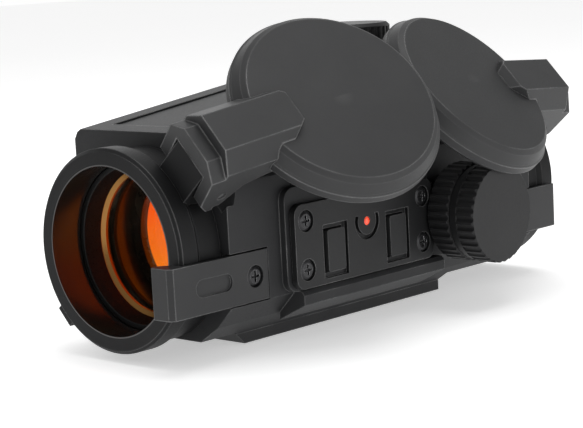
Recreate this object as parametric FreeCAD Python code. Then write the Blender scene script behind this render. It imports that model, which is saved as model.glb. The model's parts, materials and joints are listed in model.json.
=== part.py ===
import FreeCAD
import Part
import math
import os

Vec = FreeCAD.Vector

# Overall layout, in millimetres
sightLength = 138.0
baseStart = 25.0
baseEnd = 99.5
axisHeight = 24.6
midX = sightLength / 2
originX = (baseStart + baseEnd) / 2

# End rings
ringRadius = 23.0
mouthRadius = 19.05
ringLip = 5.0
neckRadius = 21.0
housingFront = 13.2
boreRadius = 18.3

# Housing
halfWidth = 24.4
podFace = 27.9
plateauHeight = 32.6
frontTop = 25.2
turretX = 88.5

# Lids and hinges
frontHingeAngle = 47.5
rearHingeAngle = 47.0
pinX = 10.2
pinRadius = 27.6
rearPinRadius = 29.6
pinDiameter = 2.0
lidReach = 34.8
lidFaceHeight = 10.4
lidRimRadius = 24.5
frontRimGain = 0.6
lidFaceRadius = 21.9
lidDepth = 6.3
frontTilt = 14.0
rearTilt = 5.2

# Control panel
panelLeft = 30.6
panelRight = 79.6
panelBottom = -11.6
panelTop = 7.6

# Knobs
knobRadius = 12.0
knobHeight = -1.4
topKnobRadius = 12.2
topKnobHeight = 44.6
topKnobY = 6.2


def box(x0, x1, y0, y1, z0, z1):
    return Part.makeBox(x1 - x0, y1 - y0, z1 - z0, Vec(x0, y0, z0))


def rod(radius, start, direction, length):
    return Part.makeCylinder(radius, length, start, direction)


def rodX(radius, x0, x1):
    return rod(radius, Vec(x0, 0, 0), Vec(1, 0, 0), x1 - x0)


def tubeX(outer, inner, x0, x1):
    return rodX(outer, x0, x1).cut(rodX(inner, x0 - 1, x1 + 1))


def prismY(points, y0, y1):
    corners = [Vec(x, y0, z) for x, z in points]
    face = Part.Face(Part.makePolygon(corners + corners[:1]))
    return face.extrude(Vec(0, y1 - y0, 0))


def prismX(points, x0, x1):
    corners = [Vec(x0, y, z) for y, z in points]
    face = Part.Face(Part.makePolygon(corners + corners[:1]))
    return face.extrude(Vec(x1 - x0, 0, 0))


def roundedPlate(x0, x1, z0, z1, y0, y1, corner):
    plate = box(x0, x1, y0, y1, z0, z1)
    edges = [e for e in plate.Edges if abs(e.Vertexes[0].Y - e.Vertexes[1].Y) > 0.01]
    return plate.makeFillet(corner, edges)


def spin(profile, start, direction):
    """Revolve (distance, radius) points about an axis through start."""
    corners = [Vec(r, 0, d) for d, r in profile]
    face = Part.Face(Part.makePolygon(corners + corners[:1]))
    solid = face.revolve(Vec(0, 0, 0), Vec(0, 0, 1), 360)
    turn = FreeCAD.Rotation(Vec(0, 0, 1), direction)
    solid.Placement = FreeCAD.Placement(start, turn)
    return solid


def knurl(knob, radius, start, direction, length, count, cut):
    """Cut evenly spaced round flutes along the side of a knob."""
    axis = direction.normalize()
    side = axis.cross(Vec(1, 0, 0))
    flutes = []
    for k in range(count):
        turn = FreeCAD.Rotation(axis, 360.0 * k / count)
        spot = start + turn.multVec(side) * radius
        flutes.append(rod(cut, spot, axis, length))
    return knob.cut(Part.makeCompound(flutes))


def crossSlot(size, width, depth, centre, direction):
    """Tapered cross recess for a screw head, sunk along -direction."""
    arms = Part.makeBox(size, width, depth, Vec(-size / 2, -width / 2, -depth))
    arms = arms.fuse(Part.makeBox(width, size, depth, Vec(-width / 2, -size / 2, -depth)))
    arms.Placement = FreeCAD.Placement(centre, FreeCAD.Rotation(Vec(0, 0, 1), direction))
    return arms


def panScrew(headCentre, direction, headRadius, headHeight, shankRadius, shankLength):
    """Pan head screw; headCentre is the middle of the top of the head."""
    profile = [(0, 0), (0, headRadius * 0.72), (-headHeight * 0.35, headRadius),
               (-headHeight, headRadius), (-headHeight, shankRadius),
               (-headHeight - shankLength, shankRadius), (-headHeight - shankLength, 0)]
    screw = spin(profile, headCentre, direction)
    slot = crossSlot(headRadius * 1.15, headRadius * 0.27, headHeight * 0.7, headCentre, direction)
    return screw.cut(slot)


def atRear(shape):
    """Mirror a piece of the front end onto the rear end."""
    return shape.mirror(Vec(midX, 0, 0), Vec(1, 0, 0))


def intoFrame(shape):
    """Move from the front mouth's centre to the middle of the base's underside."""
    moved = shape.copy()
    moved.translate(Vec(-originX, 0, axisHeight))
    return moved


def hingeFrame(shape, hingeAngle, tilt=0.0):
    """Place a piece drawn as x along, y across, z outward from the pin."""
    placed = shape.copy()
    placed.rotate(Vec(0, 0, 0), Vec(0, 1, 0), -tilt)
    placed.rotate(Vec(0, 0, 0), Vec(1, 0, 0), hingeAngle)
    angle = math.radians(hingeAngle)
    reach = rearPinRadius if hingeAngle == rearHingeAngle else pinRadius
    placed.translate(Vec(pinX, -reach * math.sin(angle), reach * math.cos(angle)))
    return placed


def housing():
    section = [(-13.0, -24.6), (13.0, -24.6), (13.0, -22.0), (19.5, -17.6), (halfWidth, -12.0),
               (halfWidth, 30.0), (20.0, 36.0), (-8.0, 36.0), (-halfWidth, 14.6),
               (-halfWidth, -12.6), (-19.5, -17.6), (-13.0, -22.0)]
    body = prismX(section, housingFront, sightLength - housingFront)
    # the top climbs from both ends to the flat under the top knob
    rearX = sightLength - housingFront
    side = [(housingFront, -30), (rearX, -30), (rearX, 26.5), (106.0, plateauHeight),
            (72.0, plateauHeight), (housingFront, frontTop)]
    body = body.common(prismY(side, -60, 60))
    slope = math.degrees(math.atan((plateauHeight - frontTop) / (72.0 - housingFront)))
    corners = ([(21.2, 0.5), (26, 0.5), (26, -2.4), (halfWidth, -2.4), (23.4, -0.7)],
               [(22.6, 1), (26, 1), (26, -1.4)])
    for corner in corners:
        wedge = prismX(corner, -1, 60.5)
        wedge.rotate(Vec(0, 0, 0), Vec(0, 1, 0), -slope)
        wedge.translate(Vec(housingFront, 0, frontTop))
        body = body.cut(wedge)
    # base: notch at the near end, step at the far end
    body = body.cut(box(0, baseStart, -30, 30, -30, -21.4))
    body = body.cut(box(baseEnd, sightLength, -30, 30, -30, -20.0))
    chamfer = [(baseStart - 0.1, -25), (baseStart + 3.2, -25), (baseStart - 0.1, -21.8)]
    body = body.cut(prismY(chamfer, -30, 30))
    # pods that carry the control panel and the side knob
    pod = roundedPlate(panelLeft - 1.2, panelRight + 0.5, panelBottom - 0.6, 11.5, -26.1, -20, 3.0)
    body = body.fuse(pod)
    ledge = [(-20, -12.2), (-podFace + 1.2, -12.2), (-podFace + 0.4, -13.2),
             (-podFace + 0.4, -15.4), (-19.5, -19.4)]
    body = body.fuse(prismX(ledge, 33.0, 84.0))
    body = body.fuse(rod(8.4, Vec(turretX, -28.0, knobHeight), Vec(0, 1, 0), 10))
    # flats the folded lids lie over
    body = body.cut(hingeFrame(box(-40, 60, -80, 80, 1.2, 60), frontHingeAngle))
    body = body.cut(atRear(hingeFrame(box(-40, 64, -80, 80, -0.8, 60), rearHingeAngle)))
    relief = rod(6.0, Vec(0, -9.3, 0), Vec(0, 1, 0), 18.6)
    body = body.cut(hingeFrame(relief, frontHingeAngle))
    body = body.cut(atRear(hingeFrame(relief, rearHingeAngle)))
    neck = rodX(neckRadius, ringLip + 3, sightLength - ringLip - 3)
    body = body.fuse(neck)
    # sunk tray in the top face
    tray = box(18.5, 70.5, -5.0, 17.0, 0, 60).common(risingSlab(22.0, -1.3, 12))
    body = body.cut(tray)
    body = body.cut(rod(topKnobRadius + 1.6, Vec(turretX, topKnobY, plateauHeight - 1.2), Vec(0, 0, 1), 30))
    # optical bore, stepped for the lens cells
    body = body.cut(rodX(boreRadius, 0, sightLength))
    body = body.cut(rodX(19.2, 0, 16.0))
    body = body.cut(rodX(19.2, sightLength - 16.0, sightLength))
    # pockets for the end brackets
    body = body.cut(box(0, 25.1, -40, -21.4, -12.75, -0.85))
    body = body.cut(atRear(box(0, 25.1, -40, -21.4, -12.75, -0.85)))
    # electronics bay behind the panel
    body = body.cut(box(38.0, 72.5, -27, -20.4, -9.9, 5.8))
    # holes
    for x, z in panelScrewSpots():
        body = body.cut(rod(1.05, Vec(x, -30, z), Vec(0, 1, 0), 10))
    for x in (20.7, sightLength - 20.7):
        body = body.cut(rod(1.05, Vec(x, -30, -6.8), Vec(0, 1, 0), 11.2))
    body = body.cut(rod(5.6, Vec(turretX, -30, knobHeight), Vec(0, 1, 0), 20))
    body = body.cut(rod(4.1, Vec(turretX, topKnobY, 10), Vec(0, 0, 1), 30))
    for x in baseHoleSpots():
        body = body.cut(rod(1.7, Vec(x, 0, -25), Vec(0, 0, 1), 4.4))
    return body


def risingSlab(z0, drop, thick):
    """Slab that follows the climbing top face at a given depth below it."""
    slope = (plateauHeight - frontTop) / (72.0 - housingFront)
    points = []
    for x in (housingFront, 110.0):
        points.append((x, frontTop + drop + slope * (x - housingFront)))
    points += [(110.0, 60.0), (housingFront, 60.0)]
    return prismY(points, -40, 40)


def panelScrewSpots():
    return [(34.3, 3.7), (34.3, -7.4), (75.7, 3.7), (75.7, -7.4)]


def baseHoleSpots():
    return [originX - 30.0, originX - 10.0, originX + 10.0, originX + 30.0]


def endRing(hingeAngle):
    """Mouth ring with its neck, slipped over the housing's collar."""
    profile = [(0, mouthRadius), (0, ringRadius - 0.7), (0.7, ringRadius), (ringLip, ringRadius),
               (ringLip + 1.4, neckRadius + 1.0), (12.9, neckRadius + 1.0), (12.9, 21.05),
               (7.9, 21.05), (7.9, 19.3), (7.9, mouthRadius)]
    ring = spin(profile, Vec(0, 0, 0), Vec(1, 0, 0))
    catch = hingeFrame(box(-1.2, 1.2, -2.6, 2.6, -2.2, 0.0), hingeAngle)
    catch.translate(Vec(2.4 - pinX, 0, 0))
    catch.rotate(Vec(0, 0, 0), Vec(1, 0, 0), 180)
    angle = math.radians(hingeAngle)
    reach = rearPinRadius if hingeAngle == rearHingeAngle else pinRadius
    inward = Vec(0, -math.sin(angle), math.cos(angle)) * (reach - ringRadius - 1.7)
    catch.translate(inward)
    return ring.fuse(catch.cut(rodX(ringRadius - 0.6, -1, 10)))


def hingeBlock(hingeAngle):
    block = box(-5.6, 2.6, -5.1, 5.1, -4.3, 4.3)
    block = block.fuse(box(-5.6, 2.4, -5.1, 5.1, -11.0, -4.0))
    nose = rod(2.6, Vec(0, -5.1, 0), Vec(0, 1, 0), 10.2)
    block = block.cut(box(0, 4, -6, 6, 0, 5)).fuse(nose)
    block = block.cut(rod(2.05, Vec(0, -1.7, 0), Vec(0, 1, 0), 3.4))
    block = block.cut(rod(pinDiameter / 2 + 0.02, Vec(0, -6, 0), Vec(0, 1, 0), 12))
    seat = spin([(-1, 0), (-1, ringRadius), (ringLip, ringRadius), (ringLip + 1.4, neckRadius + 1.0),
                 (12.95, neckRadius + 1.0), (12.95, 0)], Vec(0, 0, 0), Vec(1, 0, 0))
    return hingeFrame(block, hingeAngle).cut(seat)


def hingePin(hingeAngle):
    return hingeFrame(rod(pinDiameter / 2, Vec(0, -8.1, 0), Vec(0, 1, 0), 16.2), hingeAngle)


def frictionCoil(hingeAngle):
    """Close-wound coil that squeezes the pin; its turns are drawn as ridges."""
    profile = [(-1.5, 1.1)]
    for k in range(5):
        profile.append((-1.5 + 0.6 * k, 1.5))
        profile.append((-1.2 + 0.6 * k, 1.9))
    profile += [(1.5, 1.5), (1.5, 1.1)]
    return hingeFrame(spin(profile, Vec(0, 0, 0), Vec(0, 1, 0)), hingeAngle)


def lidOutline(hingeAngle):
    """Outside of the lid from rim to face, as (height, radius)."""
    base = lidFaceHeight - lidDepth
    gain = frontRimGain if hingeAngle == frontHingeAngle else 0.0
    rim = lidRimRadius + gain
    face = lidFaceRadius + gain
    return [(base, rim - 0.6), (base + 0.7, rim), (base + 2.6, rim), (base + 3.0, rim - 0.45),
            (lidFaceHeight - 1.0, face + 0.9), (lidFaceHeight, face - 0.3), (lidFaceHeight + 0.25, 0)]


def lid(hingeAngle, tilt):
    base = lidFaceHeight - lidDepth
    inside = [(lidFaceHeight - 1.6, 0), (lidFaceHeight - 1.6, 21.3), (base + 1.2, 23.3), (base, 23.3)]
    cup = spin(lidOutline(hingeAngle) + inside, Vec(lidReach, 0, 0), Vec(0, 0, 1))
    return hingeFrame(cup, hingeAngle, tilt)


def lidArm(hingeAngle, tilt):
    """Fork over the hinge block with a faceted web that runs onto the lid."""
    across = [(-8.5, -3.2), (-8.5, 8.0), (-4.9, 12.6), (4.9, 12.6), (8.5, 8.0), (8.5, -3.2)]
    web = prismX(across, -1.4, 24.0)
    plan = Part.makePolygon([Vec(-6.2, -9, -5), Vec(14.2, -9, -5), Vec(22.8, -2.0, -5), Vec(22.8, 2.4, -5),
                             Vec(14.2, 9, -5), Vec(-6.2, 9, -5), Vec(-6.2, -9, -5)])
    web = web.common(Part.Face(plan).extrude(Vec(0, 0, 30)))
    low = [(-8.5, -4.2), (-8.5, 6.6), (-4.6, 9.8), (4.6, 9.8), (8.5, 6.6), (8.5, -4.2)]
    arm = web.fuse(prismX(low, -5.0, -1.2))
    # underside: clear of the block, then resting on the lid
    sweep = rod(7.4, Vec(0, -5.45, 0), Vec(0, 1, 0), 10.9)
    arm = arm.cut(sweep.fuse(box(-7.0, 8.0, -5.45, 5.45, -8, 4.9)))
    under = [(-5.1, -4.4), (-5.1, -1.4), (-2.9, -4.2), (-0.5, -4.2), (5.0, 1.9), (10.5, 3.2), (13.0, 3.6),
             (13.0, 9.0), (30.0, 9.0), (30.0, -4.4)]
    arm = arm.cut(prismY(under, -10, 10))
    tip = [(20.6, 12.7), (23.2, 12.7), (23.2, 9.6)]
    arm = arm.cut(prismY(tip, -10, 10))
    base = lidFaceHeight - lidDepth
    arm = arm.cut(spin([(base, 0)] + lidOutline(hingeAngle), Vec(lidReach, 0, 0), Vec(0, 0, 1)))
    arm = arm.cut(rod(pinDiameter / 2 + 0.04, Vec(0, -12, 0), Vec(0, 1, 0), 24))
    solid = max(arm.Solids, key=lambda s: s.Volume)
    return hingeFrame(solid, hingeAngle, tilt)


def endBracket():
    """Side strip with a hooked end in front of the mouth ring."""
    points = [(24.7, -24.6), (24.7, -21.6), (13.6, -21.6), (13.6, -23.4), (-0.3, -23.4),
              (-0.3, -20.4), (-3.4, -18.0), (-4.9, -18.9), (-4.9, -23.4), (-3.9, -24.6)]
    corners = [Vec(x, y, -12.4) for x, y in points]
    strip = Part.Face(Part.makePolygon(corners + corners[:1])).extrude(Vec(0, 0, 11.2))
    strip = strip.cut(rodX(ringRadius + 0.02, -0.28, 5.2))
    slot = box(4.4, 11.6, -26, -24.0, -8.6, -4.8)
    slot = slot.fuse(rod(1.9, Vec(4.4, -26, -6.7), Vec(0, 1, 0), 2.0))
    slot = slot.fuse(rod(1.9, Vec(11.6, -26, -6.7), Vec(0, 1, 0), 2.0))
    strip = strip.cut(slot)
    strip = strip.cut(rod(2.5, Vec(20.7, -26, -6.8), Vec(0, 1, 0), 2.6))
    return strip.cut(rod(1.15, Vec(20.7, -26, -6.8), Vec(0, 1, 0), 6))


def rearBracket():
    """The far strip is plain and stops over the neck."""
    plate = endBracket().common(box(14.2, 30, -40, 0, -20, 10))
    return atRear(plate.fuse(box(2.4, 14.2, -24.6, -23.4, -12.4, -1.2)))


def bracketScrew():
    return panScrew(Vec(20.7, -24.5, -6.8), Vec(0, -1, 0), 2.2, 1.1, 1.03, 4.4)


def windowGlass():
    return rodX(17.0, 14.2, 16.4)


def windowRetainer():
    profile = [(8.4, 19.0), (8.4, 17.9), (13.0, 17.2), (13.6, 16.2),
               (14.2, 16.2), (14.2, 17.1), (16.0, 17.1), (16.0, 19.0)]
    return spin(profile, Vec(0, 0, 0), Vec(1, 0, 0))


def windowSeal():
    return tubeX(18.2, 16.0, 16.5, 17.5)


def lensCell():
    profile = [(24.4, 18.2), (24.4, 15.3), (26.4, 15.3), (26.4, 16.6),
               (31.0, 16.6), (31.0, 15.0), (60.0, 15.0), (60.0, 18.2)]
    return spin(profile, Vec(0, 0, 0), Vec(1, 0, 0))


def mirrorLens():
    disc = rodX(16.5, 26.5, 29.3)
    bowl = Part.makeSphere(60.0, Vec(26.9 - 60.0 + 0.9, 0, 0))
    return disc.cut(bowl.common(rodX(15.2, 20, 40)))


def emitterHolder():
    arm = box(96.0, 101.0, -2.0, 2.0, -18.2, -15.2)
    arm = arm.common(rodX(18.2, 90, 110))
    ring = tubeX(18.2, 16.6, 96.0, 101.0)
    holder = ring.fuse(arm)
    return holder.cut(rod(0.95, Vec(95.5, 0, -16.4), Vec(1, 0, 0), 2.6))


def emitterLamp():
    return rod(0.9, Vec(95.4, 0, -16.4), Vec(1, 0, 0), 2.6)


def panelCover():
    front = -podFace
    cover = roundedPlate(panelLeft, panelRight, panelBottom, panelTop, front, front + 1.5, 2.4)
    for x in (44.0, 66.1):
        cover = cover.cut(box(x - 4.2, x + 4.2, front - 1, front + 1.0, -10.4, 1.9))
        cover = cover.cut(box(x - 3.2, x + 3.2, front - 1, front + 3, -9.3, 0.9))
    groove = rod(4.3, Vec(55.2, front - 1, 0.7), Vec(0, 1, 0), 2.0)
    groove = groove.cut(rod(3.2, Vec(55.2, front - 2, 0.7), Vec(0, 1, 0), 5))
    groove = groove.cut(box(50, 60, -40, -10, 2.2, 10))
    cover = cover.cut(groove)
    cover = cover.cut(rod(1.02, Vec(55.2, front - 1, 0.7), Vec(0, 1, 0), 5))
    for x, z in panelScrewSpots():
        cover = cover.cut(rod(2.5, Vec(x, front - 1, z), Vec(0, 1, 0), 2.0))
        cover = cover.cut(rod(1.15, Vec(x, front - 1, z), Vec(0, 1, 0), 5))
    return cover


def panelScrews():
    spots = panelScrewSpots()
    return Part.makeCompound([panScrew(Vec(x, -podFace + 0.1, z), Vec(0, -1, 0), 2.2, 0.88, 1.03, 5.0)
                              for x, z in spots])


def panelGasket():
    gasket = roundedPlate(panelLeft + 0.3, panelRight - 0.3, panelBottom + 0.3, panelTop - 0.3,
                          -26.38, -26.12, 2.2)
    gasket = gasket.cut(box(38.4, 72.1, -28, -20, -9.6, 5.5))
    for x, z in panelScrewSpots():
        gasket = gasket.cut(rod(1.2, Vec(x, -30, z), Vec(0, 1, 0), 10))
    return gasket


def circuitBoard():
    board = box(38.6, 72.0, -22.6, -21.4, -9.4, 5.3)
    chip = box(52.0, 58.0, -23.5, -22.6, -7.6, -3.2)
    return board.fuse(chip)


def tactSwitches():
    return Part.makeCompound([box(x - 2.6, x + 2.6, -24.4, -22.62, -6.6, -1.4) for x in (44.0, 66.1)])


def pushButton(x):
    cap = roundedPlate(x - 2.95, x + 2.95, -9.05, 0.65, -podFace - 0.25, -podFace + 2.2, 0.6)
    rim = box(x - 3.8, x + 3.8, -podFace + 1.9, -podFace + 2.4, -9.7, 1.3)
    return cap.fuse(rim)


def indicatorLens():
    profile = [(0, 0), (0, 1.0), (2.6, 1.0), (2.9, 0.7), (3.05, 0)]
    return spin(profile, Vec(55.2, -podFace + 2.75, 0.7), Vec(0, -1, 0))


def indicatorLamp():
    return box(54.3, 56.1, -24.6, -22.62, -0.2, 1.6)


def innerKnob():
    start = Vec(turretX, -28.25, knobHeight)
    profile = [(0, 6.2), (0, knobRadius - 0.8), (0.8, knobRadius), (6.2, knobRadius),
               (6.6, knobRadius - 0.9),
               (6.6, 6.2)]
    knob = spin(profile, start, Vec(0, -1, 0))
    return knurl(knob, knobRadius + 0.35, Vec(turretX, -28.2, knobHeight), Vec(0, -1, 0), 6.7, 36, 0.85)


def outerCap():
    start = Vec(turretX, -35.05, knobHeight)
    profile = [(0, 6.2), (0, knobRadius - 0.5), (1.9, knobRadius - 0.1), (2.2, knobRadius),
               (6.7, knobRadius), (7.1, knobRadius - 0.4), (7.1, 0),
               (5.4, 0), (5.4, 9.9), (1.6, 9.9), (1.6, 6.2)]
    knob = spin(profile, start, Vec(0, -1, 0))
    return knurl(knob, knobRadius + 0.35, Vec(turretX, -37.2, knobHeight), Vec(0, -1, 0), 5.0, 36, 0.85)


def knobSpindle():
    profile = [(0, 0), (0, 5.5), (12.7, 5.5), (12.7, 6.15),
               (20.9, 6.15), (20.9, 3.0), (19.5, 3.0), (19.5, 0)]
    spindle = spin(profile, Vec(turretX, -15.5, knobHeight), Vec(0, -1, 0))
    return spindle.cut(Part.makeTorus(5.2, 0.38, Vec(turretX, -22.0, knobHeight), Vec(0, 1, 0)))


def coinCell():
    return rod(9.6, Vec(turretX, -37.2, knobHeight), Vec(0, -1, 0), 2.9)


def contactSpring():
    profile = [(0, 0.6), (0, 5.2), (0.35, 5.2), (0.6, 0.9), (0.6, 0.6)]
    return spin(profile, Vec(turretX, -36.5, knobHeight), Vec(0, -1, 0))


def sideKnobSeal():
    return Part.makeTorus(5.2, 0.36, Vec(turretX, -22.0, knobHeight), Vec(0, 1, 0))


def topCollar():
    profile = [(0, 4.3), (0, topKnobRadius + 1.5), (1.2, topKnobRadius + 1.5),
               (1.6, topKnobRadius + 1.0), (1.6, 4.3)]
    return spin(profile, Vec(turretX, topKnobY, plateauHeight - 1.18), Vec(0, 0, 1))


def topKnob():
    z0 = plateauHeight + 0.75
    height = topKnobHeight - z0
    profile = [(0, 4.05), (0, topKnobRadius), (height - 0.8, topKnobRadius), (height, topKnobRadius - 0.8),
               (height, 0), (height - 2.2, 0), (height - 2.2, 4.05)]
    knob = spin(profile, Vec(turretX, topKnobY, z0), Vec(0, 0, 1))
    return knurl(knob, topKnobRadius + 0.35, Vec(turretX, topKnobY, z0 - 1), Vec(0, 0, 1), height, 36, 0.75)


def topSpindle():
    spindle = rod(4.05, Vec(turretX, topKnobY, 19.0), Vec(0, 0, 1), 22.0)
    groove = Part.makeTorus(3.75, 0.35, Vec(turretX, topKnobY, plateauHeight - 3.0), Vec(0, 0, 1))
    return spindle.cut(groove)


def topKnobSeal():
    return Part.makeTorus(3.75, 0.33, Vec(turretX, topKnobY, plateauHeight - 3.0), Vec(0, 0, 1))


def topPlate():
    plate = box(19.0, 70.0, -4.5, 16.5, 0, 60).common(risingSlab(22.0, -1.28, 12))
    lid = risingSlab(22.0, -0.45, 12)
    return plate.cut(lid)


def assemblyParts():
    parts = {
        "housing": housing(), "top_plate": topPlate(),
        "lens_cell": lensCell(), "mirror_lens": mirrorLens(),
        "emitter_holder": emitterHolder(), "emitter_lamp": emitterLamp(),
        "panel_cover": panelCover(), "panel_gasket": panelGasket(), "panel_screws": panelScrews(),
        "circuit_board": circuitBoard(), "tact_switches": tactSwitches(),
        "button_front": pushButton(44.0), "button_rear": pushButton(66.1),
        "indicator_lens": indicatorLens(), "indicator_lamp": indicatorLamp(),
        "side_knob_inner": innerKnob(), "side_knob_cap": outerCap(), "side_knob_spindle": knobSpindle(),
        "coin_cell": coinCell(), "contact_spring": contactSpring(), "side_knob_seal": sideKnobSeal(),
        "top_knob": topKnob(), "top_collar": topCollar(), "top_spindle": topSpindle(),
        "top_knob_seal": topKnobSeal(),
    }
    hinges = {"ring": endRing, "hinge_block": hingeBlock, "hinge_pin": hingePin, "hinge_coil": frictionCoil}
    ends = {
        "bracket": endBracket, "bracket_screw": bracketScrew, "window": windowGlass,
        "window_retainer": windowRetainer, "window_seal": windowSeal,
    }
    for name, build in ends.items():
        parts["front_" + name] = build()
        parts["rear_" + name] = atRear(build())
    parts["rear_bracket"] = rearBracket()
    for name, build in hinges.items():
        parts["front_" + name] = build(frontHingeAngle)
        parts["rear_" + name] = atRear(build(rearHingeAngle))
    for name, build in {"lid": lid, "lid_arm": lidArm}.items():
        parts["front_" + name] = build(frontHingeAngle, frontTilt)
        parts["rear_" + name] = atRear(build(rearHingeAngle, rearTilt))
    return parts


os.makedirs("parts", exist_ok=True)
for name, shape in assemblyParts().items():
    intoFrame(shape).exportStep("parts/" + name + ".step")
    print(name, "solids", len(shape.Solids), "volume", round(shape.Volume, 1))
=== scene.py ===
import bpy
import json
import math
from mathutils import Matrix, Vector

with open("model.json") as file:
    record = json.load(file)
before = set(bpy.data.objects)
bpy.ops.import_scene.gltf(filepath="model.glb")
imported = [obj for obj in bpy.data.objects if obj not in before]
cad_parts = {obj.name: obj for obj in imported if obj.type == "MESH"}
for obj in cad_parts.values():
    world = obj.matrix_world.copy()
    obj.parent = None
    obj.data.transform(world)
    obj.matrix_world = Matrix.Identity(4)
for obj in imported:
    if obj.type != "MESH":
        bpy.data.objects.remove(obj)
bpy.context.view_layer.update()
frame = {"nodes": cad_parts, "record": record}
print("frame loaded")

opticAxis = {"height": 0.0246, "frontMouth": -0.06225}
noiseSpan = (0.3, 0.7)   # the part of a noise's range that carries nearly all of it
rubAndPaintedHighlightFloor = 0.2           # least edge lightening along an edge, as a share of the look's own: a painted highlight, partly rubbed wear


def startMaterial(name):
    mat = bpy.data.materials.new(name)
    mat.use_nodes = True
    tree = mat.node_tree
    return mat, tree, tree.nodes["Principled BSDF"]


def addNode(tree, kind, **values):
    node = tree.nodes.new(kind)
    for key, value in values.items():
        setattr(node, key, value)
    return node


def noiseNode(tree, coords, scale, detail=4.0, roughness=0.55):
    node = addNode(tree, "ShaderNodeTexNoise")
    node.inputs["Scale"].default_value = scale
    node.inputs["Detail"].default_value = detail
    node.inputs["Roughness"].default_value = roughness
    tree.links.new(coords, node.inputs["Vector"])
    return node.outputs["Fac"]


def rangeNode(tree, value, low, high, toLow, toHigh):
    node = addNode(tree, "ShaderNodeMapRange")
    node.inputs["From Min"].default_value = low
    node.inputs["From Max"].default_value = high
    node.inputs["To Min"].default_value = toLow
    node.inputs["To Max"].default_value = toHigh
    tree.links.new(value, node.inputs["Value"])
    return node.outputs["Result"]


def mathNode(tree, operation, first, second=None):
    node = addNode(tree, "ShaderNodeMath", operation=operation)
    for slot, value in enumerate((first, second)):
        if value is None:
            continue
        if isinstance(value, (int, float)):
            node.inputs[slot].default_value = value
        else:
            tree.links.new(value, node.inputs[slot])
    return node.outputs[0]


def mixColour(tree, factor, first, second):
    node = addNode(tree, "ShaderNodeMix", data_type="RGBA")
    tree.links.new(factor, node.inputs["Factor"])
    for slot, value in ((6, first), (7, second)):
        if isinstance(value, tuple):
            node.inputs[slot].default_value = (*value, 1.0)
        else:
            tree.links.new(value, node.inputs[slot])
    return node.outputs[2]


def edgeMask(tree, radius):
    # how far the rounded normal leans away from the flat one: high along edges
    bevel = addNode(tree, "ShaderNodeBevel", samples=4)
    bevel.inputs["Radius"].default_value = radius
    geometry = addNode(tree, "ShaderNodeNewGeometry")
    dot = addNode(tree, "ShaderNodeVectorMath", operation="DOT_PRODUCT")
    tree.links.new(bevel.outputs["Normal"], dot.inputs[0])
    tree.links.new(geometry.outputs["Normal"], dot.inputs[1])
    return bevel.outputs["Normal"], rangeNode(tree, dot.outputs["Value"], 0.72, 0.99, 1.0, 0.0)


def addBump(tree, shader, height, rounded, strength, depth):
    # fine relief on top of the rounded edges
    bump = addNode(tree, "ShaderNodeBump")
    bump.inputs["Strength"].default_value = strength
    bump.inputs["Distance"].default_value = depth
    tree.links.new(height, bump.inputs["Height"])
    tree.links.new(rounded, bump.inputs["Normal"])
    tree.links.new(bump.outputs["Normal"], shader.inputs["Normal"])


def axisDistance(tree, coords):
    # height above the tube's axis, and distance from it
    parts = addNode(tree, "ShaderNodeSeparateXYZ")
    tree.links.new(coords, parts.inputs[0])
    sideways = parts.outputs["Y"]
    lifted = mathNode(tree, "SUBTRACT", parts.outputs["Z"], opticAxis["height"])
    square = mathNode(tree, "ADD", mathNode(tree, "MULTIPLY", sideways, sideways),
                      mathNode(tree, "MULTIPLY", lifted, lifted))
    return lifted, mathNode(tree, "SQRT", square)


def makeCoated(name, look):
    # moulded plastic or anodised metal: fine grain, soft blotches, and edges lightened as a
    # painted highlight, partly rubbed wear
    mat, tree, shader = startMaterial(name)
    coords = addNode(tree, "ShaderNodeTexCoord").outputs["Object"]
    blotch = noiseNode(tree, coords, look["blotchScale"], 5.0)
    grain = noiseNode(tree, coords, look["grainScale"], 3.0, 0.7)
    rounded, edge = edgeMask(tree, look["edgeRadius"])
    shade = rangeNode(tree, blotch, *noiseSpan, 0.0, 1.0)
    base = mixColour(tree, shade, look["dark"], look["light"])
    # edges lightened towards the edge colour: a painted highlight, partly rubbed wear, patchy
    # with the blotches
    patchyRubAndPaintedHighlight = rangeNode(tree, blotch, 0.38, 0.62, look["rubAndPaintedHighlight"] * rubAndPaintedHighlightFloor, look["rubAndPaintedHighlight"])
    rubAndPaintedHighlight = mathNode(tree, "MULTIPLY", edge, patchyRubAndPaintedHighlight)
    colour = mixColour(tree, rubAndPaintedHighlight, base, look["edge"])
    tree.links.new(colour, shader.inputs["Base Color"])
    rough = rangeNode(tree, grain, *noiseSpan, look["rough"] - 0.05, look["rough"] + 0.06)
    tree.links.new(rough, shader.inputs["Roughness"])
    shader.inputs["Specular IOR Level"].default_value = look["specular"]
    addBump(tree, shader, grain, rounded, look["bump"], look["bumpDepth"])
    return mat


def makeTube(name, look, bore):
    # the same coating outside, polished inside the bore
    mat = makeCoated(name, look)
    tree = mat.node_tree
    outside = tree.nodes["Principled BSDF"]
    inside = addNode(tree, "ShaderNodeBsdfPrincipled")
    inside.inputs["Base Color"].default_value = (*bore["colour"], 1.0)
    inside.inputs["Roughness"].default_value = bore["rough"]
    inside.inputs["Specular IOR Level"].default_value = bore["specular"]
    inside.inputs["Metallic"].default_value = bore["metal"]
    coords = addNode(tree, "ShaderNodeTexCoord").outputs["Object"]
    distance = axisDistance(tree, coords)[1]
    within = mathNode(tree, "LESS_THAN", distance, bore["radius"])
    mix = addNode(tree, "ShaderNodeMixShader")
    output = tree.nodes["Material Output"]
    tree.links.new(within, mix.inputs[0])
    tree.links.new(outside.outputs[0], mix.inputs[1])
    tree.links.new(inside.outputs[0], mix.inputs[2])
    tree.links.new(mix.outputs[0], output.inputs["Surface"])
    return mat


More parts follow.
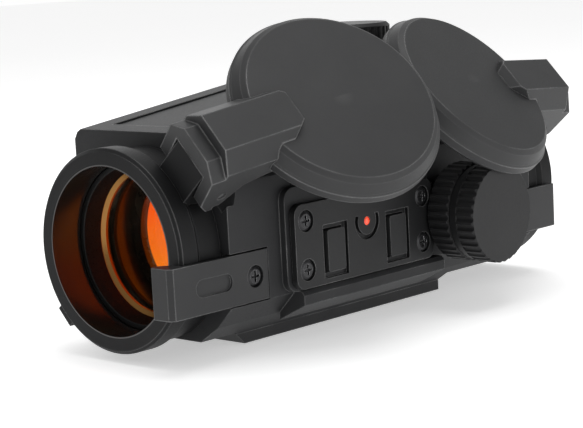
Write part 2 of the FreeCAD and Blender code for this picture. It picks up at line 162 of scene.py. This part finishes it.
def makeBore(name, look):
    mat, tree, shader = startMaterial(name)
    coords = addNode(tree, "ShaderNodeTexCoord").outputs["Object"]
    smear = noiseNode(tree, coords, look["smearScale"])
    shader.inputs["Base Color"].default_value = (*look["colour"], 1.0)
    rough = rangeNode(tree, smear, *noiseSpan, look["rough"] - 0.04, look["rough"] + 0.08)
    tree.links.new(rough, shader.inputs["Roughness"])
    shader.inputs["Specular IOR Level"].default_value = look["specular"]
    return mat


def makeGlass(name, look):
    mat, tree, shader = startMaterial(name)
    coords = addNode(tree, "ShaderNodeTexCoord").outputs["Object"]
    dust = noiseNode(tree, coords, look["dustScale"], 5.0, 0.7)
    haze = rangeNode(tree, dust, 0.55, 0.8, 0.0, look["haze"])
    tree.links.new(haze, shader.inputs["Roughness"])
    shader.inputs["Base Color"].default_value = (*look["colour"], 1.0)
    shader.inputs["Transmission Weight"].default_value = 1.0
    shader.inputs["IOR"].default_value = look["bending"]
    shader.inputs["Specular IOR Level"].default_value = look["specular"]
    shader.inputs["Specular Tint"].default_value = (*look["tint"], 1.0)
    return mat


def makeMirrorCoatPaintedGlow(name, look):
    # amber coating whose colour also glows as a painted reflection: yellower low down, and the
    # painted glow dims to a darker deep red at its rim
    mat, tree, shader = startMaterial(name)
    coords = addNode(tree, "ShaderNodeTexCoord").outputs["Object"]
    lifted, distance = axisDistance(tree, coords)
    rim = rangeNode(tree, distance, look["rimStart"], look["rimEnd"], 0.0, 1.0)
    streak = noiseNode(tree, coords, look["streakScale"], 3.0)
    wander = rangeNode(tree, streak, *noiseSpan, -look["wander"], look["wander"])
    height = mathNode(tree, "ADD", lifted, wander)
    fade = rangeNode(tree, height, *look["fade"], 0.0, 1.0)
    face = mixColour(tree, fade, look["low"], look["high"])
    colour = mixColour(tree, rim, face, look["deep"])
    tree.links.new(colour, shader.inputs["Base Color"])
    # painted reflection: the coating's colour glows, though the coating is no lamp
    tree.links.new(colour, shader.inputs["Emission Color"])
    glow = rangeNode(tree, rim, 0.0, 1.0, look["glow"], look["rimGlow"])
    tree.links.new(glow, shader.inputs["Emission Strength"])
    shader.inputs["Metallic"].default_value = look["metal"]
    shader.inputs["Roughness"].default_value = look["rough"]
    return mat


def makeSteel(name, look):
    mat, tree, shader = startMaterial(name)
    coords = addNode(tree, "ShaderNodeTexCoord").outputs["Object"]
    grain = noiseNode(tree, coords, look["grainScale"], 4.0, 0.7)
    rounded, edge = edgeMask(tree, look["edgeRadius"])
    # edges lightened towards the edge colour: a painted glint
    colour = mixColour(tree, edge, look["colour"], look["edge"])
    tree.links.new(colour, shader.inputs["Base Color"])
    rough = rangeNode(tree, grain, *noiseSpan, look["rough"] - 0.08, look["rough"] + 0.1)
    tree.links.new(rough, shader.inputs["Roughness"])
    shader.inputs["Metallic"].default_value = look["metal"]
    addBump(tree, shader, grain, rounded, look["bump"], look["bumpDepth"])
    return mat


def makeIndicator(name, look):
    mat, tree, shader = startMaterial(name)
    coords = addNode(tree, "ShaderNodeTexCoord").outputs["Object"]
    cloud = noiseNode(tree, coords, look["cloudScale"], 3.0)
    shade = rangeNode(tree, cloud, 0.35, 0.65, 0.0, 1.0)
    colour = mixColour(tree, shade, look["deep"], look["bright"])
    tree.links.new(colour, shader.inputs["Base Color"])
    tree.links.new(colour, shader.inputs["Emission Color"])
    shader.inputs["Emission Strength"].default_value = look["glow"]
    shader.inputs["Roughness"].default_value = look["rough"]
    shader.inputs["Coat Weight"].default_value = look["coat"]
    return mat


# colours, roughness and edge lightening (painted highlight, partly rubbed wear) of each kind of
# piece, in metres where they are lengths
housingLook = {"dark": (0.019, 0.0193, 0.0205), "light": (0.026, 0.0263, 0.0275),
               "edge": (0.42, 0.42, 0.42), "rough": 0.55, "specular": 0.25,
               "bump": 0.35, "bumpDepth": 0.00006, "grainScale": 2600.0, "blotchScale": 70.0,
               "edgeRadius": 0.0004, "rubAndPaintedHighlight": 0.9}
lidLook = dict(housingLook, dark=(0.026, 0.0263, 0.0272), light=(0.032, 0.0323, 0.0332),
               rough=0.5, edgeRadius=0.0006, specular=0.36, edge=(0.50, 0.50, 0.50))
ringLook = dict(housingLook, dark=(0.009, 0.0091, 0.0096), light=(0.0125, 0.0126, 0.0132),
                rough=0.5, edgeRadius=0.0005, specular=0.16, rubAndPaintedHighlight=0.6)
bracketLook = dict(housingLook, dark=(0.022, 0.0222, 0.0232), light=(0.028, 0.0282, 0.0292),
                   rough=0.45, specular=0.3)
knobLook = dict(housingLook, dark=(0.010, 0.010, 0.0106), light=(0.015, 0.015, 0.0157),
                rough=0.45, edgeRadius=0.0002, edge=(0.12, 0.12, 0.12), rubAndPaintedHighlight=0.4, specular=0.28)
panelLook = dict(housingLook, dark=(0.011, 0.0112, 0.0118), light=(0.015, 0.0152, 0.0158),
                 rough=0.45, edgeRadius=0.00025)
buttonLook = dict(housingLook, dark=(0.020, 0.0203, 0.021), light=(0.025, 0.0253, 0.026),
                  edgeRadius=0.00025, rubAndPaintedHighlight=0.5)
sealLook = dict(housingLook, dark=(0.010, 0.010, 0.010), light=(0.016, 0.016, 0.016),
                rough=0.7, rubAndPaintedHighlight=0.1)
boardLook = dict(housingLook, dark=(0.01, 0.06, 0.02), light=(0.015, 0.09, 0.03),
                 rough=0.4, rubAndPaintedHighlight=0.2)
retainerLook = dict(housingLook, dark=(0.006, 0.006, 0.006), light=(0.009, 0.009, 0.009),
                    rough=0.3, rubAndPaintedHighlight=0.05)

# inside the tube: the polished bore, and the bright inner lip of the window retainers
boreLook = {"colour": (0.010, 0.008, 0.007), "rough": 0.24, "specular": 0.7,
            "metal": 0.0, "radius": 0.01935, "smearScale": 160.0}
lipLook = {"colour": (0.26, 0.13, 0.04), "rough": 0.25, "specular": 0.6,
           "metal": 1.0, "radius": 0.01722}

# screws, springs and cell: edge is a lighter colour painted along the edges as a glint
screwLook = {"colour": (0.030, 0.030, 0.032), "edge": (0.55, 0.55, 0.56), "rough": 0.32,
             "metal": 0.6, "grainScale": 1800.0, "edgeRadius": 0.00012,
             "bump": 0.25, "bumpDepth": 0.00003}
springLook = dict(screwLook, colour=(0.5, 0.5, 0.51), edge=(0.8, 0.8, 0.8), rough=0.3, metal=1.0)
cellLook = dict(screwLook, colour=(0.62, 0.62, 0.62), edge=(0.8, 0.8, 0.8), rough=0.25, metal=1.0)

windowLook = {"colour": (0.9, 0.75, 0.6), "bending": 1.18, "specular": 0.5,
              "tint": (1.0, 0.85, 0.6), "dustScale": 900.0, "haze": 0.03}
# mirror: glow and rimGlow set the painted reflection's glow on the face and at the rim
mirrorLook = {"low": (1.0, 0.24, 0.0), "high": (1.0, 0.12, 0.001), "deep": (0.30, 0.03, 0.003),
              "fade": (-0.008, 0.006), "wander": 0.002, "streakScale": 120.0,
              "rimStart": 0.0152, "rimEnd": 0.0166, "glow": 0.9, "rimGlow": 0.1,
              "metal": 0.9, "rough": 0.12}
indicatorLook = {"deep": (0.72, 0.03, 0.01), "bright": (0.95, 0.12, 0.05), "glow": 0.55,
                 "cloudScale": 1400.0, "rough": 0.25, "coat": 0.5}

# one finish for each material slot of the record
finishes = {
    "housing_plastic": makeTube("housingPlastic", housingLook, boreLook),
    "lid_plastic": makeCoated("lidPlastic", lidLook),
    "ring_alloy": makeTube("ringCoating", ringLook, boreLook),
    "bracket_alloy": makeCoated("bracketCoating", bracketLook),
    "knob_alloy": makeCoated("knobCoating", knobLook),
    "panel_plastic": makeCoated("panelPlastic", panelLook),
    "button_rubber": makeCoated("buttonRubber", buttonLook),
    "seal_rubber": makeCoated("sealRubber", sealLook),
    "board_laminate": makeCoated("boardLaminate", boardLook),
    "bore_black": makeBore("boreBlack", boreLook),
    "screw_steel": makeSteel("screwSteel", screwLook),
    "spring_steel": makeSteel("springSteel", springLook),
    "cell_steel": makeSteel("cellSteel", cellLook),
    "clear_glass": makeGlass("windowGlass", windowLook),
    "amber_mirror": makeMirrorCoatPaintedGlow("amberCoatingPaintedGlow", mirrorLook),
    "indicator_red": makeIndicator("indicatorRed", indicatorLook),
}
retainerFinish = makeTube("retainerCoating", retainerLook, lipLook)
slotOf = {entry["node"]: entry["material_slot"] for entry in frame["record"]["subparts"]}
for nodeName, nodeObject in frame["nodes"].items():
    finish = finishes[slotOf[nodeName]]
    if nodeName.endswith("window_retainer"):
        finish = retainerFinish
    nodeObject.data.materials.clear()
    nodeObject.data.materials.append(finish)
print("finishes on", len(frame["nodes"]), "parts")

floorLook = {"size": 6.0, "height": -0.0004, "colour": (0.93, 0.93, 0.93), "cloudScale": 3.0,
             "glow": 0.45, "rough": 0.9, "specular": 0.1}


def makeFloor():
    half = floorLook["size"] / 2
    mesh = bpy.data.meshes.new("floor")
    signs = ((-1, -1), (1, -1), (1, 1), (-1, 1))
    corners = [(x * half, y * half, floorLook["height"]) for x, y in signs]
    mesh.from_pydata(corners, [], [(0, 1, 2, 3)])
    floor = bpy.data.objects.new("floor", mesh)
    bpy.context.scene.collection.objects.link(floor)
    mat, tree, shader = startMaterial("paleFloor")
    coords = addNode(tree, "ShaderNodeTexCoord").outputs["Object"]
    cloud = noiseNode(tree, coords, floorLook["cloudScale"], 2.0)
    pale = floorLook["colour"]
    colour = mixColour(tree, cloud, pale, tuple(v * 1.03 for v in pale))
    tree.links.new(colour, shader.inputs["Base Color"])
    shader.inputs["Emission Color"].default_value = (1.0, 1.0, 1.0, 1.0)
    shader.inputs["Emission Strength"].default_value = floorLook["glow"]
    shader.inputs["Roughness"].default_value = floorLook["rough"]
    shader.inputs["Specular IOR Level"].default_value = floorLook["specular"]
    mesh.materials.append(mat)


def addLight(name, light):
    data = bpy.data.lights.new(name, "AREA")
    data.shape = "RECTANGLE"
    data.size, data.size_y = light["size"]
    data.energy = light["power"]
    lamp = bpy.data.objects.new(name, data)
    lamp.location = light["spot"]
    lamp.rotation_mode = "QUATERNION"
    aim = Vector(light["target"]) - Vector(light["spot"])
    lamp.rotation_quaternion = aim.to_track_quat("-Z", "Y")
    bpy.context.scene.collection.objects.link(lamp)


lightSettings = {
    "overheadSoftbox": {"spot": (0.05, -0.05, 0.80), "target": (0.0, 0.0, 0.03),
                        "size": (0.7, 0.5), "power": 2.9},
    "frontFill": {"spot": (0.10, -0.85, 0.30), "target": (0.0, 0.0, 0.03),
                  "size": (0.6, 0.4), "power": 0.55},
    "lowStrip": {"spot": (0.05, -0.45, 0.03), "target": (0.0, 0.0, 0.02),
                 "size": (0.5, 0.06), "power": 0.18},
    "backEdge": {"spot": (0.35, 0.55, 0.30), "target": (0.0, 0.0, 0.04),
                 "size": (0.5, 0.3), "power": 0.6},
}
skySettings = {"lighting": 0.50, "backdrop": 1.0}   # what lights the object, and what is seen


def makeSky():
    world = bpy.data.worlds.new("studio")
    bpy.context.scene.world = world
    world.use_nodes = True
    tree = world.node_tree
    lighting = tree.nodes["Background"]
    lighting.inputs["Strength"].default_value = skySettings["lighting"]
    backdrop = addNode(tree, "ShaderNodeBackground")
    backdrop.inputs["Strength"].default_value = skySettings["backdrop"]
    for plain in (lighting, backdrop):
        plain.inputs["Color"].default_value = (1.0, 1.0, 1.0, 1.0)
    seen = addNode(tree, "ShaderNodeLightPath")
    mix = addNode(tree, "ShaderNodeMixShader")
    tree.links.new(seen.outputs["Is Camera Ray"], mix.inputs[0])
    tree.links.new(lighting.outputs[0], mix.inputs[1])
    tree.links.new(backdrop.outputs[0], mix.inputs[2])
    tree.links.new(mix.outputs[0], tree.nodes["World Output"].inputs["Surface"])


makeFloor()
for lightName, lightValues in lightSettings.items():
    addLight(lightName, lightValues)
makeSky()
bpy.context.scene.view_settings.view_transform = "Standard"
print("floor and lights set")

# angles in degrees and lens in mm; the rest places the front mouth's centre in metres
cameraSettings = {"turn": 43.1, "rise": 8.38, "roll": -3.01, "lens": 109.5, "sensor": 36.0,
                  "across": -0.04028, "upward": -0.00841, "distance": 0.39028}


def placeCamera():
    turn, rise, roll = (math.radians(cameraSettings[key]) for key in ("turn", "rise", "roll"))
    back = Vector((-math.cos(rise) * math.cos(turn),
                   -math.cos(rise) * math.sin(turn),
                   math.sin(rise)))
    level = Vector((math.sin(turn), -math.cos(turn), 0.0))
    upright = level.cross(-back)
    right = math.cos(roll) * level + math.sin(roll) * upright
    up = -math.sin(roll) * level + math.cos(roll) * upright
    spot = Vector((opticAxis["frontMouth"], 0.0, opticAxis["height"]))
    spot -= cameraSettings["across"] * right + cameraSettings["upward"] * up
    spot += cameraSettings["distance"] * back
    data = bpy.data.cameras.new("studioCamera")
    data.sensor_width = cameraSettings["sensor"]
    data.lens = cameraSettings["lens"]
    data.clip_start = 0.01
    camera = bpy.data.objects.new("studioCamera", data)
    turned = Matrix((right, up, back)).transposed().to_4x4()
    turned.translation = spot
    camera.matrix_world = turned
    bpy.context.scene.collection.objects.link(camera)
    bpy.context.scene.camera = camera


placeCamera()
print("camera placed")
